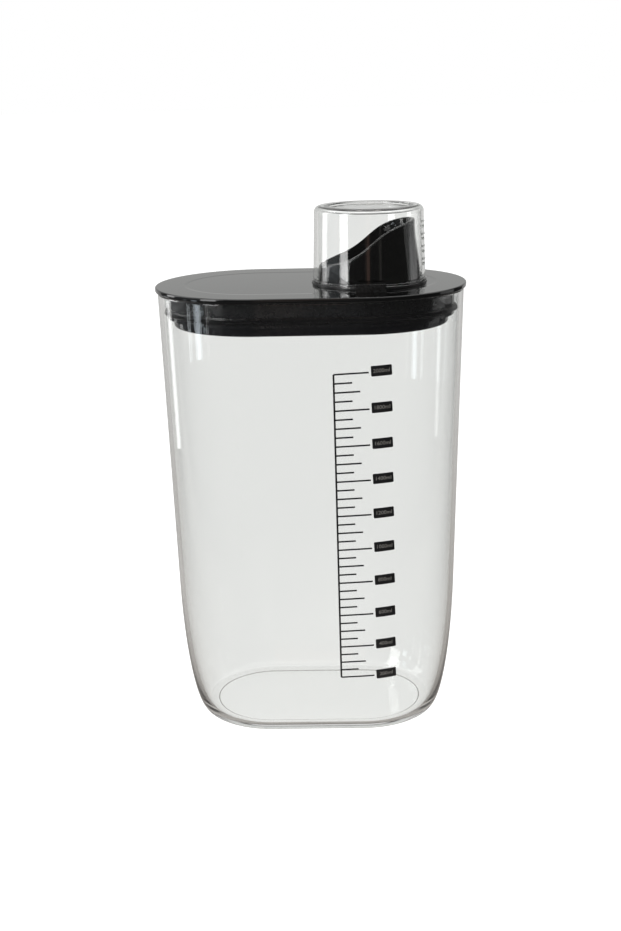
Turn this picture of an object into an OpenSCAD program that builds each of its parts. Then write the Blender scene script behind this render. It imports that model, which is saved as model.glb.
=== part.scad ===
/* [Container] */
// Outside length of the container at its rim
cont_len = 151.6; // [130:0.2:200]
// Outside depth of the container at its rim
cont_dep = 100.6; // [88:0.2:124]
// Height of the container
cont_h = 222.5; // [120:0.5:320]
// Thickness of the container's wall
cont_wall = 2.2; // [1.4:0.1:3.2]
// Thickness of the container's floor
cont_floor = 3; // [2:0.1:6]
// How far each end draws in from the rim to the base
draft_len = 6; // [0:0.1:9]
// How far each side draws in from the rim to the base
draft_dep = 4.2; // [0:0.1:8]
// Height of the soft rounding at the base
base_round_h = 69; // [20:1:90]
// How far the soft rounding draws in the foot
base_round_in = 9.6; // [3:0.1:13]
// Width of the foot that the container stands on
foot_w = 6; // [3:0.5:12]
// Depth of the hollow inside the foot
foot_hollow = 0.8; // [0.3:0.1:1.4]

/* [Lid] */
// How far the lid's plate stands out past the container's rim
lid_overhang = 1.2; // [0.2:0.1:4]
// Thickness of the lid's plate
plate_t = 2.4; // [2:0.1:5]
// Rounding of the plate's edges
plate_round = 0.7; // [0.2:0.1:0.9]
// Height of the plug's upper band
band_h = 12.2; // [10:0.1:25]
// Gap between the upper band and the container's wall
band_gap = 2.4; // [1:0.1:4]
// How far the plug steps in below its upper band
step_in = 2.9; // [2:0.1:6]
// Height of the step below the upper band
step_h = 0.8; // [0.4:0.1:6]
// Height of the plug's lower lip
plug_lip_h = 3.7; // [1.4:0.1:8]
// Thickness of the plug's wall
plug_wall = 2.4; // [2:0.1:3]
// Height of the rib that seats the plug under the plate
rib_h = 3.5; // [2:0.1:6]
// Thickness of that rib
rib_t = 1.6; // [1:0.1:2.4]

/* [Lid seal] */
// Height of the seal's bead in its groove
seal_h = 3.2; // [2:0.1:4]
// Depth of the groove for the seal
seal_groove = 1.2; // [0.6:0.1:1.6]
// Drop of the seal's middle below the plate
seal_drop = 9; // [5.5:0.1:9.5]
// Thickness of the seal's lip
lip_t = 0.6; // [0.5:0.1:1.4]
// Clearance between the lip and the container's wall
lip_gap = 0.3; // [0.2:0.05:0.6]

/* [Pour spout] */
// Distance of the spout's axis from the middle of the lid
spout_x = 29.2; // [0:0.1:32]
// Outside radius of the spout's mouth
spout_r = 22.1; // [18:0.1:23]
// Radius that the spout flares to at the plate
spout_foot_r = 25.3; // [24.5:0.1:25.5]
// Height of the flare
flare_h = 22; // [10:0.5:28]
// Thickness of the spout's wall
spout_wall = 1.8; // [1.2:0.1:2.4]
// Height of the mouth's low side above the plate
mouth_low = 9.4; // [5:0.1:14]
// Height of the mouth's high side above the plate
mouth_high = 31; // [22:0.1:32.5]
// Half length of the steep stretch of the mouth
mouth_bend = 9.3; // [5:0.1:16]
// Share of the mouth's rise that lies in the steep stretch
mouth_swing = 0.53; // [0.2:0.01:0.8]
// Thickness of the flange under the plate
flange_t = 1.6; // [1:0.1:3]
// Width of the flange outside the neck
flange_w = 3; // [2:0.1:5]
// Step from the spout's foot in to its neck
neck_step = 0.9; // [0.4:0.1:1.2]
// Thickness of the gasket between flange and plate
gasket_t = 0.8; // [0.4:0.1:1.5]

/* [Measuring cup] */
// Outside radius of the cup just above its rim
cup_rim_r = 27.75; // [27.6:0.05:28.2]
// Outside radius of the cup at its closed end
cup_end_r = 26.8; // [25:0.1:27.5]
// Height of the cup from its rim to its closed end
cup_h = 36.5; // [36:0.1:60]
// Thickness of the cup's wall
cup_wall = 1.5; // [1:0.1:1.7]
// Rounding between the cup's wall and its closed end
cup_round = 3; // [2:0.1:5]
// Radius of the shallow hollow in the closed end
dimple_r = 19.6; // [10:0.1:21]
// Depth of that hollow
dimple_depth = 1.1; // [0.3:0.1:2]
// How far the rim's bead stands out
bead_out = 0.5; // [0.2:0.05:0.6]
// Height of the rim's bead
bead_h = 1.2; // [0.8:0.1:1.4]
// Number of long marks on the cup
mark_rows = 4; // [1:1:5]
// Distance between the long marks
mark_pitch = 6; // [4:0.1:6.5]
// Height of the lowest short mark above the rim
mark_from = 8.4; // [6:0.1:12]
// How far the marks stand out
mark_out = 0.35; // [0.2:0.05:0.6]
// Height of each mark
mark_w = 0.7; // [0.4:0.1:1.2]
// Direction of the marks round the cup
mark_angle = -16; // [-60:1:60]

/* [Cup lock] */
// Height of the ring that the cup's rim sits on
ring_h = 1.5; // [1:0.1:1.8]
// Depth of the ring's groove in the plate
ring_sunk = 0.6; // [0.3:0.1:0.9]
// Width of the hooks on the plate
hook_w = 14.5; // [10:0.1:18]
// Height of the hooks above the plate
hook_h = 3.6; // [3.4:0.1:6]
// Thickness of the hook's nose over the lug
nose_t = 1.1; // [0.8:0.1:1.2]
// Length of a hook across the plate
hook_len = 7.6; // [6:0.1:11]
// How far a lug stands out past the bead
lug_out = 2.6; // [1.5:0.1:3.2]
// Width of a lug as an angle
lug_angle = 11; // [8:0.5:14]
// Turn that takes a lug from beside its hook to its stop
twist = 25; // [18:0.5:26]

/* [Fits] */
// Clearance between parts that turn or slide past each other
run_gap = 0.3; // [0.2:0.05:0.35]
// Clearance around parts that stay put
seat_gap = 0.15; // [0.05:0.05:0.2]

/* [Hidden] */
round_fn = 96;
end_steps = 40;
base_levels = 10;
wall_levels = 6;
mouth_steps = 30;
flare_steps = 12;
arc_steps = 6;
eps = 0.01;
over = 1;

// Heights, from the surface that the container stands on
plate_z = cont_h;
top_z = plate_z + plate_t;
cup_z = top_z + ring_h - ring_sunk;
band_z = plate_z - band_h;
step_z = band_z - step_h;
plug_z = step_z - plug_lip_h;
seal_z = plate_z - seal_drop;

// The stadium plan of the lid: a straight middle and two round ends
straight = cont_len - cont_dep;
plate_r = cont_dep / 2 + lid_overhang;
band_r = cont_dep / 2 - cont_wall - band_gap;
lower_r = band_r - step_in;
seal_low_z = seal_z - lip_t;

// Radii about the axis of the spout
neck_r = spout_foot_r - neck_step;
hole_r = neck_r + seat_gap;
ring_in = spout_foot_r + run_gap;
bead_r = cup_rim_r + bead_out;
ring_out = bead_r;
lug_r = bead_r + lug_out;
nose_r = bead_r + run_gap + seat_gap;
slot_r = lug_r + run_gap;
hook_r = nose_r + hook_len;
hook_half = asin(hook_w / (nose_r + slot_r));
lug_clear = 1.5;
lug_rest = hook_half + lug_angle / 2 + lug_clear;
stop_angle = twist - lug_rest + lug_angle / 2 + lug_clear;

// Plan size, half length then half depth, of the container's outside at height z
function drawn_in(z) = z >= base_round_h ? 0
    : base_round_in * (1 - sqrt(1 - pow((base_round_h - z) / base_round_h, 2)));
function half_plan(z) = let (low = 1 - z / cont_h)
    [cont_len / 2 - draft_len * low - drawn_in(z), cont_dep / 2 - draft_dep * low - drawn_in(z)];

// Points round a stadium of the given half length and half depth, at height z
function ring_points(half, z) = [
    for (side = [1, -1], i = [0 : end_steps])
        let (a = side * 90 - 90 + (180 * i / end_steps - 90), r = half[1])
        [side * (half[0] - r) + r * cos(a), r * sin(a), z]
];

function shrink(half, by) = [half[0] - by, half[1] - by];
function wave(t) = (exp(2 * t) - 1) / (exp(2 * t) + 1);

// Height of the spout's mouth above the plate, at x from the spout's axis
function mouth_height(x) = let (mid = (mouth_low + mouth_high) / 2, rise = (mouth_high - mouth_low) / 2)
    mid + rise * (mouth_swing * wave(x / mouth_bend) / wave(spout_r / mouth_bend)
    + (1 - mouth_swing) * x / spout_r);

// Outside radius of the spout at height h above the plate
function spout_radius(h) = h >= flare_h ? spout_r
    : spout_r + (spout_foot_r - spout_r) * (1 + cos(180 * h / flare_h)) / 2;

// Points on an arc about a centre
function arc(centre, r, from, to, steps = arc_steps) = [
    for (i = [0 : steps])
        let (a = from + (to - from) * i / steps)
        centre + r * [cos(a), sin(a)]
];

// A closed skin over a stack of rings that hold the same number of points
module ring_stack(rings) {
    n = len(rings[0]);
    m = len(rings);
    points = [for (ring = rings) each ring];
    sides = [for (k = [0 : m - 2], i = [0 : n - 1], half = [0, 1])
        let (a = k * n + i, b = k * n + (i + 1) % n)
        half == 0 ? [a, a + n, b] : [b, a + n, b + n]];
    first = [for (i = [0 : n - 1]) i];
    last = [for (i = [n - 1 : -1 : 0]) (m - 1) * n + i];
    polyhedron(points = points, faces = concat(sides, [first, last]), convexity = 6);
}

// Sweeps a profile, given as distance from the middle line and height, round the stadium plan
module stadium_sweep() {
    for (side = [1, -1])
        translate([side * straight / 2, 0, 0])
            rotate([0, 0, -side * 90])
                rotate_extrude(angle = 180, $fn = round_fn) children();
    for (side = [1, -1])
        rotate([90, 0, 90])
            linear_extrude(height = straight, center = true)
                mirror([side == 1 ? 0 : 1, 0]) children();
}

module on_spout_axis() {
    translate([spout_x, 0, 0]) children();
}

// Clear body, drawn in towards a rounded base with a foot
module container() {
    outer_z = concat([for (i = [0 : base_levels]) base_round_h * (1 - cos(90 * i / base_levels))],
                     [for (i = [1 : wall_levels]) base_round_h + (cont_h - base_round_h) * i / wall_levels]);
    inner_rise = base_round_h - cont_floor;
    inner_z = concat([for (i = [0 : base_levels]) inner_rise * (1 - cos(90 * i / base_levels))],
                     [for (i = [1 : wall_levels])
                         inner_rise + (cont_h - base_round_h) * i / wall_levels]);
    foot = half_plan(0);
    outer = [for (z = outer_z) ring_points(half_plan(z), z)];
    inner = [for (i = [len(inner_z) - 1 : -1 : 0])
        ring_points(shrink(half_plan(outer_z[i]), cont_wall), inner_z[i] + cont_floor)];
    color([0.85, 0.87, 0.86, 0.4])
        ring_stack(concat([for (z = [foot_hollow, 0]) ring_points(shrink(foot, foot_w), z)], outer, inner));
}

// An L-shaped hook in front of the cup, open to the side that the lug comes from
module hook() {
    difference() {
        translate([-hook_w / 2, -hook_r, top_z - eps])
            cube([hook_w, hook_r, hook_h + eps]);
        translate([0, 0, top_z - over])
            cylinder(h = hook_h + 2 * over, r = nose_r, $fn = round_fn);
        rotate([0, 0, -90 - 2 * hook_half])
            translate([0, 0, top_z])
                rotate_extrude(angle = 2 * hook_half + stop_angle, $fn = round_fn)
                    square([slot_r, hook_h - nose_t]);
    }
}

// Plate with the spout's hole, the groove for the cup's ring and the two hooks
module lid_cover() {
    color([0.08, 0.08, 0.085]) {
        difference() {
            stadium_sweep()
                polygon(concat([[0, top_z], [0, plate_z]],
                               arc([plate_r - plate_round, plate_z + plate_round], plate_round, -90, 0),
                               arc([plate_r - plate_round, top_z - plate_round], plate_round, 0, 90)));
            on_spout_axis() {
                translate([0, 0, plate_z - over])
                    cylinder(h = plate_t + 2 * over, r = hole_r, $fn = round_fn);
                translate([0, 0, top_z - ring_sunk])
                    rotate_extrude($fn = round_fn)
                        translate([ring_in - seat_gap, 0])
                            square([ring_out - ring_in + 2 * seat_gap, ring_sunk + over]);
            }
        }
        on_spout_axis()
            for (a = [0, 180]) rotate([0, 0, a]) hook();
        stadium_sweep()
            translate([band_r - plug_wall - seat_gap - rib_t, plate_z - rib_h])
                square([rib_t, rib_h + eps]);
    }
}

// Stepped hollow skirt that goes down into the container
module lid_plug() {
    lip_round = 1;
    groove_h = seal_h / 2 + seat_gap;
    color([0.09, 0.09, 0.1])
        stadium_sweep()
            polygon(concat([[band_r, plate_z], [band_r, seal_z + groove_h],
                            [band_r - seal_groove, seal_z + groove_h],
                            [band_r - seal_groove, seal_z - groove_h],
                            [band_r, seal_z - groove_h], [band_r, band_z], [lower_r, step_z]],
                           arc([lower_r - lip_round, plug_z + lip_round], lip_round, 0, -90),
                           [[lower_r - plug_wall, plug_z], [lower_r - plug_wall, step_z + plug_wall / 2],
                            [band_r - plug_wall, band_z + plug_wall / 2], [band_r - plug_wall, plate_z]]));
}

// Silicone ring with a drooping lip that wipes the container's wall
module lid_seal() {
    wall_r = half_plan(seal_low_z)[1] - cont_wall;
    end_r = half_plan(seal_low_z)[0] - cont_wall - straight / 2;
    lip_r = min(wall_r, end_r) - lip_gap;
    back_r = band_r - seal_groove + seat_gap;
    color([0.16, 0.16, 0.17])
        stadium_sweep()
            polygon([[back_r, seal_z + seal_h / 2], [back_r, seal_z - seal_h / 2],
                     [band_r, seal_z - seal_h / 2], [band_r + lip_t / 2, seal_z - lip_t],
                     [lip_r - lip_t / 4, seal_low_z], [lip_r, seal_low_z + lip_t / 2],
                     [band_r + lip_t / 2, seal_z + lip_t], [band_r, seal_z + seal_h / 2]]);
}

// Flared tube with a slanted S-shaped mouth, a neck and a flange under the plate
module pour_spout() {
    tall = mouth_high + over;
    flange_top = plate_z - gasket_t;
    outside = [for (i = [0 : flare_steps]) let (h = flare_h * i / flare_steps) [spout_radius(h), top_z + h]];
    reach = 1.3 * spout_foot_r;
    inside = [for (i = [len(outside) - 1 : -1 : 0]) outside[i] - [spout_wall, 0]];
    cut = concat([for (i = [0 : mouth_steps]) let (x = reach * (2 * i / mouth_steps - 1))
                     [x, top_z + mouth_height(x)]],
                 [[reach, top_z + 2 * tall], [-reach, top_z + 2 * tall]]);
    color([0.07, 0.07, 0.075])
        on_spout_axis()
            difference() {
                rotate_extrude($fn = round_fn)
                    polygon(concat([[neck_r, flange_top], [neck_r, top_z]], outside,
                                   [[spout_r, top_z + tall], [spout_r - spout_wall, top_z + tall]], inside,
                                   [[neck_r - spout_wall, top_z - spout_wall],
                                    [neck_r - spout_wall, flange_top - flange_t],
                                    [neck_r + flange_w, flange_top - flange_t],
                                    [neck_r + flange_w, flange_top]]));
                rotate([90, 0, 0])
                    linear_extrude(height = 4 * spout_foot_r, center = true) polygon(cut);
            }
}

// Thin ring that seals the spout's flange to the plate
module spout_gasket() {
    color([0.2, 0.2, 0.21])
        on_spout_axis()
            rotate_extrude($fn = round_fn)
                translate([hole_r, plate_z - gasket_t])
                    square([neck_r + flange_w - hole_r, gasket_t]);
}

// Ring round the foot of the spout that the cup's rim sits on
module cup_seal() {
    edge = 0.25;
    color([0.14, 0.14, 0.15])
        on_spout_axis()
            translate([0, 0, top_z - ring_sunk])
                rotate_extrude($fn = round_fn)
                    polygon([[ring_in, 0], [ring_out, 0], [ring_out, ring_h - edge],
                             [ring_out - edge, ring_h], [ring_in + edge, ring_h], [ring_in, ring_h - edge]]);
}

// Outside radius of the cup at height h above its rim
function cup_radius(h) = cup_rim_r + (cup_end_r - cup_rim_r) * h / (cup_h - cup_round);

// A raised mark on the cup's wall, half an angle to each side of the scale's middle
module mark(h, half) {
    rotate([0, 0, mark_angle - half])
        rotate_extrude(angle = 2 * half, $fn = round_fn)
            translate([cup_radius(h) - cup_wall / 2, h - mark_w / 2])
                square([cup_wall / 2 + mark_out, mark_w]);
}

// Clear cup, upside down, with a bead, two lugs and raised marks
module measuring_cup() {
    bead_cut = bead_h / 4;
    short_half = 4;
    long_half = 7;
    inner_round = cup_round - cup_wall / 2;
    inner_top = cup_h - dimple_depth - cup_wall;
    inner_end_r = cup_radius(inner_top - inner_round) - cup_wall;
    color([0.88, 0.9, 0.89, 0.4])
        on_spout_axis()
            translate([0, 0, cup_z]) {
                rotate_extrude($fn = round_fn)
                    polygon(concat([[cup_rim_r - cup_wall, 0], [bead_r - bead_cut, 0], [bead_r, bead_cut],
                                    [bead_r, bead_h - bead_cut], [bead_r - bead_cut, bead_h],
                                    [cup_radius(bead_h), bead_h + bead_cut / 2]],
                                   arc([cup_end_r - cup_round, cup_h - cup_round], cup_round, 0, 90),
                                   [[dimple_r + dimple_depth / 3, cup_h], [dimple_r, cup_h - dimple_depth],
                                    [0, cup_h - dimple_depth], [0, inner_top]],
                                   arc([inner_end_r - inner_round, inner_top - inner_round],
                                       inner_round, 90, 0)));
                for (a = [0, 180])
                    rotate([0, 0, a - 90 - lug_rest - lug_angle / 2])
                        rotate_extrude(angle = lug_angle, $fn = round_fn)
                            translate([cup_rim_r - cup_wall / 2, 0])
                                square([lug_r - cup_rim_r + cup_wall / 2, bead_h]);
                for (i = [0 : mark_rows - 1]) {
                    mark(mark_from + i * mark_pitch, short_half);
                    mark(mark_from + i * mark_pitch + mark_pitch / 3, long_half);
                }
            }
}

container();
lid_cover();
lid_plug();
lid_seal();
pour_spout();
spout_gasket();
cup_seal();
measuring_cup();
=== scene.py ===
"""Looks of a clear cereal container with a black lid, a slanted pour spout and a clear measuring cup.

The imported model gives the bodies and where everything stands. Each class below builds one sub-assembly as
smooth meshes of the same sizes, in metres, dresses them and lets them ride on their bodies.
"""

from __future__ import annotations

import logging
import math
from collections.abc import Iterable
from dataclasses import dataclass, field
from enum import Enum

import bmesh
import bpy
from mathutils import Matrix, Vector

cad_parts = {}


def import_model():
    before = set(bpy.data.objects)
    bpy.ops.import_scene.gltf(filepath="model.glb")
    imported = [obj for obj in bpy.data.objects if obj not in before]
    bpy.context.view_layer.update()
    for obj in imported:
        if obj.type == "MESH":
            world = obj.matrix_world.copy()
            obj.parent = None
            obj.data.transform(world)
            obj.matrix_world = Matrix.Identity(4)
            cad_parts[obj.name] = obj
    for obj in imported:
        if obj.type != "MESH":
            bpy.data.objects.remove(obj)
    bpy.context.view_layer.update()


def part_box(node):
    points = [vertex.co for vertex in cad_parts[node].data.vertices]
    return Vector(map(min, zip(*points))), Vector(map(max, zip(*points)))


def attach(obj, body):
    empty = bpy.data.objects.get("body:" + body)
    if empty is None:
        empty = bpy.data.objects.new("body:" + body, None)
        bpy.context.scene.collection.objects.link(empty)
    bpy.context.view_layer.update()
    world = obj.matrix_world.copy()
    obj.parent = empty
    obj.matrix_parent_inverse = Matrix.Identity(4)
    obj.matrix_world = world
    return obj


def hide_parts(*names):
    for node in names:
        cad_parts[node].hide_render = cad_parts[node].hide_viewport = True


LOG = logging.getLogger("container")
MM = 0.001

SHARP_ANGLE = 38.0
FLAT_WEIGHT = 100
NOISE_SPAN = (0.3, 0.7)
MIX_INPUTS = (0, 6, 7)
MIX_RESULT = 2

Pair = tuple[float, float]
Colour = tuple[float, float, float]
Point = tuple[float, float, float]
Ring = list[Point]
Material = bpy.types.Material
Socket = bpy.types.NodeSocket


class Body(Enum):
    """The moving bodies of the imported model."""

    CONTAINER = "container"
    LID = "lid"
    RING = "ring"
    CUP = "cup"


class Slot(Enum):
    """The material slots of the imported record."""

    CLEAR = "clear_plastic"
    LID = "lid_plastic"
    PLUG = "plug_plastic"
    SILICONE = "silicone"
    CUP = "cup_plastic"


# Finishes


class NodeBoard:
    """Short calls for laying out the nodes of a material or a world."""

    def __init__(self, tree: bpy.types.NodeTree) -> None:
        """Clears the tree.

        Args:
            tree: The node tree to fill.
        """
        self.tree = tree
        tree.nodes.clear()

    def add(self, kind: str, inputs: dict | None = None, **settings: object) -> bpy.types.Node:
        """Adds a node.

        Args:
            kind: The node's type without its ShaderNode start.
            inputs: Values or output sockets for its inputs, by name or number.
            settings: Values for the node's own properties.

        Returns:
            The new node.
        """
        node = self.tree.nodes.new("ShaderNode" + kind)
        for name, value in settings.items():
            setattr(node, name, value)
        for name, value in (inputs or {}).items():
            if isinstance(value, Socket):
                self.tree.links.new(value, node.inputs[name])
            else:
                node.inputs[name].default_value = value
        return node

    def math(self, operation: str, a: object, b: object = 0.0) -> Socket:
        """Adds a Math node and returns its output."""
        return self.add("Math", {0: a, 1: b}, operation=operation).outputs[0]

    def noise(self, scale: float, detail: float = 3.0, stretch: Point = (1.0, 1.0, 1.0)) -> Socket:
        """Adds noise in the object's own coordinates.

        Args:
            scale: Features per metre.
            detail: How many finer layers it has.
            stretch: Factors on the three axes, under 1 to draw the noise out.

        Returns:
            The noise value from 0 to 1.
        """
        place = self.add("TexCoord").outputs["Object"]
        mapping = self.add("Mapping", {"Vector": place, "Scale": stretch})
        layers = {"Vector": mapping.outputs[0], "Scale": scale, "Detail": detail}
        return self.add("TexNoise", layers).outputs["Fac"]

    def between(self, value: object, low: float, high: float) -> Socket:
        """Maps the span where most noise lies to low to high."""
        start, end = NOISE_SPAN
        span = {"Value": value, "From Min": start, "From Max": end, "To Min": low, "To Max": high}
        return self.add("MapRange", span).outputs[0]

    def rise(self, value: object, start: float, end: float) -> Socket:
        """Maps a value softly to 0 at the start and 1 at the end."""
        span = {"Value": value, "From Min": start, "From Max": end}
        return self.add("MapRange", span, interpolation_type="SMOOTHSTEP").outputs[0]

    def blend(self, share: object, first: object, second: object) -> Socket:
        """Blends two colours by a share from 0 to 1 and returns the colour."""
        mix = self.add("Mix", data_type="RGBA")
        for index, value in zip(MIX_INPUTS, (share, first, second)):
            if isinstance(value, Socket):
                self.tree.links.new(value, mix.inputs[index])
            else:
                mix.inputs[index].default_value = (*value, 1.0) if index else value
        return mix.outputs[MIX_RESULT]


def fresh_material(name: str) -> tuple[Material, NodeBoard]:
    """Makes a material without nodes.

    Args:
        name: Its name.

    Returns:
        The material and the board to lay out its nodes on.
    """
    material = bpy.data.materials.new(name)
    material.use_nodes = True
    return material, NodeBoard(material.node_tree)


@dataclass(frozen=True)
class MouldedPlastic:
    """Opaque moulded plastic or rubber, with smudges, a fine skin and edges painted lighter, partly as wear
    and partly as a painted sheen.
    """

    name: str
    colour: Colour
    worn: Colour
    roughness: Pair
    skin_scale: float
    skin_depth: float
    ior: float = 1.5
    smudge_scale: float = 26.0
    smudge_detail: float = 6.0
    skin_detail: float = 4.0
    wear_edge: Pair = (0.52, 0.6)
    least_wear: float = 0.2

    def material(self) -> Material:
        """Builds the material and returns it."""
        material, board = fresh_material(self.name)
        smudge = board.noise(self.smudge_scale, self.smudge_detail)
        grain = board.noise(self.skin_scale, self.skin_detail)
        # Lighter colour on sharp edges, speckled by the grain: partly wear, partly a painted sheen along
        # the edges.
        edge = board.add("NewGeometry").outputs["Pointiness"]
        start, end = self.wear_edge
        rub_and_sheen = board.add("MapRange", {"Value": edge, "From Min": start, "From Max": end}).outputs[0]
        speckle = board.between(grain, self.least_wear, 1.0)
        colour = board.blend(board.math("MULTIPLY", rub_and_sheen, speckle), self.colour, self.worn)
        bump = board.add("Bump", {"Height": grain, "Strength": 1.0, "Distance": self.skin_depth})
        shader = board.add(
            "BsdfPrincipled",
            {
                "Base Color": colour,
                "Roughness": board.between(smudge, *self.roughness),
                "IOR": self.ior,
                "Normal": bump.outputs[0],
            },
        )
        board.add("OutputMaterial", {"Surface": shader.outputs[0]})
        return material


@dataclass(frozen=True)
class ClearPlastic:
    """Clear moulded plastic that lets lamps through, with faint flow waves and handling marks."""

    name: str
    tint: Colour
    shade: Colour
    roughness: Pair
    wave_scale: float
    wave_depth: float
    ior: float = 1.52
    wave_stretch: Point = (1.0, 1.0, 0.35)
    mark_fineness: float = 14.0
    mark_detail: float = 5.0

    def material(self) -> Material:
        """Builds the material and returns it."""
        material, board = fresh_material(self.name)
        waves = board.noise(self.wave_scale, 1.0, self.wave_stretch)
        marks = board.noise(self.wave_scale * self.mark_fineness, self.mark_detail)
        bump = board.add("Bump", {"Height": waves, "Strength": 1.0, "Distance": self.wave_depth})
        shader = board.add(
            "BsdfPrincipled",
            {
                "Base Color": (*self.tint, 1.0),
                "Roughness": board.between(marks, *self.roughness),
                "IOR": self.ior,
                "Transmission Weight": 1.0,
                "Normal": bump.outputs[0],
            },
        )
        path = board.add("LightPath")
        soft_ray = board.math("MAXIMUM", path.outputs["Is Shadow Ray"], path.outputs["Is Diffuse Ray"])
        through = board.add("BsdfTransparent", {"Color": (*self.shade, 1.0)})
        mix = board.add("MixShader", {0: soft_ray, 1: shader.outputs[0], 2: through.outputs[0]})
        board.add("OutputMaterial", {"Surface": mix.outputs[0]})
        return material


@dataclass(frozen=True)
class Ink:
    """Screen printing ink, a little uneven where it is thin."""

    name: str
    colour: Colour
    thin: Colour
    roughness: Pair = (0.32, 0.5)
    cover_scale: float = 2400.0
    gloss_scale: float = 700.0

    def material(self) -> Material:
        """Builds the material and returns it."""
        material, board = fresh_material(self.name)
        cover = board.noise(self.cover_scale)
        shader = board.add(
            "BsdfPrincipled",
            {
                "Base Color": board.blend(board.between(cover, 0.0, 1.0), self.colour, self.thin),
                "Roughness": board.between(board.noise(self.gloss_scale), *self.roughness),
            },
        )
        board.add("OutputMaterial", {"Surface": shader.outputs[0]})
        return material


LID_BLACK = MouldedPlastic(
    name="lid_black",
    colour=(0.004, 0.004, 0.004),
    worn=(0.03, 0.03, 0.03),
    roughness=(0.03, 0.09),
    skin_scale=900.0,
    skin_depth=0.000002,
)
PLUG_BLACK = MouldedPlastic(
    name="plug_black",
    colour=(0.006, 0.006, 0.008),
    worn=(0.03, 0.03, 0.03),
    roughness=(0.05, 0.12),
    skin_scale=700.0,
    skin_depth=0.000002,
)
SEAL_BLACK = MouldedPlastic(
    name="seal_black",
    colour=(0.004, 0.004, 0.005),
    worn=(0.03, 0.03, 0.03),
    roughness=(0.2, 0.32),
    skin_scale=1600.0,
    skin_depth=0.000004,
    ior=1.42,
)
BODY_CLEAR = ClearPlastic(
    name="body_clear",
    tint=(0.965, 0.972, 0.966),
    shade=(0.90, 0.91, 0.90),
    roughness=(0.0, 0.03),
    wave_scale=22.0,
    wave_depth=0.00012,
)
CUP_CLEAR = ClearPlastic(
    name="cup_clear",
    tint=(0.975, 0.98, 0.975),
    shade=(0.92, 0.93, 0.92),
    roughness=(0.0, 0.025),
    wave_scale=60.0,
    wave_depth=0.00003,
)
CUP_FROSTED = ClearPlastic(
    name="cup_frosted",
    tint=(0.93, 0.94, 0.93),
    shade=(0.92, 0.93, 0.92),
    roughness=(0.16, 0.3),
    wave_scale=900.0,
    wave_depth=0.00001,
)
INK_BLACK = Ink("ink_black", (0.008, 0.008, 0.009), (0.02, 0.02, 0.021))
INK_PALE = Ink("ink_pale", (0.46, 0.45, 0.42), (0.34, 0.33, 0.31))


# Mesh tools


class Skin:
    """A mesh built from rings of points that quads join."""

    def __init__(self) -> None:
        """Starts with no points."""
        self.mesh = bmesh.new()

    def loft(self, rings: Iterable[Ring], closed: bool = False) -> list[list[bmesh.types.BMVert]]:
        """Joins rings of as many points each, one after the other.

        Args:
            rings: The rings, in order.
            closed: Whether the last ring is joined to the first.

        Returns:
            The rings' vertices.
        """
        loops = [[self.mesh.verts.new(point) for point in ring] for ring in rings]
        for low, high in zip(loops, loops[1:] + loops[:1] if closed else loops[1:]):
            for index, corner in enumerate(low):
                follow = (index + 1) % len(low)
                self.mesh.faces.new((corner, low[follow], high[follow], high[index]))
        return loops

    def cap(self, loop: list[bmesh.types.BMVert]) -> None:
        """Closes a ring with one flat face."""
        self.mesh.faces.new(loop)

    def solid(self, rings: Iterable[Ring]) -> None:
        """Joins rings and closes both ends."""
        loops = self.loft(rings)
        self.cap(loops[0])
        self.cap(loops[-1])

    def piece(self, name: str, sharp: float = SHARP_ANGLE) -> bpy.types.Object:
        """Makes the object.

        Args:
            name: The piece's name.
            sharp: Edges that turn by more degrees than this stay sharp.

        Returns:
            The new object, in the scene.
        """
        bmesh.ops.recalc_face_normals(self.mesh, faces=self.mesh.faces)
        data = bpy.data.meshes.new(name)
        self.mesh.to_mesh(data)
        self.mesh.free()
        piece = bpy.data.objects.new(name, data)
        bpy.context.scene.collection.objects.link(piece)
        smooth(piece, sharp)
        return piece


def smooth(piece: bpy.types.Object, sharp: float = SHARP_ANGLE) -> None:
    """Shades a piece smooth and keeps the edges sharp that turn by more degrees than given."""
    piece.data.shade_smooth()
    piece.data.set_sharp_from_angle(angle=math.radians(sharp))


def hold_flats(piece: bpy.types.Object) -> None:
    """Keeps flat faces flat in the shading, and leaves the bend to the roundings beside them."""
    facing = piece.modifiers.new("facing", "WEIGHTED_NORMAL")
    facing.keep_sharp = True
    facing.weight = FLAT_WEIGHT


def finish_piece(
    piece: bpy.types.Object,
    material: Material,
    body: Body,
    replaces: tuple[str, ...] = (),
) -> bpy.types.Object:
    """Dresses a piece and lets it ride.

    Args:
        piece: The piece, at rest.
        material: Its finish.
        body: The body that it moves with.
        replaces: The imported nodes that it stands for.

    Returns:
        The piece.
    """
    piece.data.materials.clear()
    piece.data.materials.append(material)
    if replaces:
        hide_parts(*replaces)
    hold_flats(piece)
    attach(piece, body.value)
    LOG.info("%s: %d faces, rides on %s", piece.name, len(piece.data.polygons), body.value)
    return piece


def arc(centre: Pair, radius: float, start: float, end: float, steps: int = 6) -> list[Pair]:
    """Points of an arc in a profile.

    Args:
        centre: The arc's centre.
        radius: Its radius.
        start: The angle of the first point, in degrees.
        end: The angle of the last point, in degrees.
        steps: How many stretches it has.

    Returns:
        The points, both ends included.
    """
    turns = [math.radians(start + (end - start) * step / steps) for step in range(steps + 1)]
    return [(centre[0] + radius * math.cos(turn), centre[1] + radius * math.sin(turn)) for turn in turns]


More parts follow.
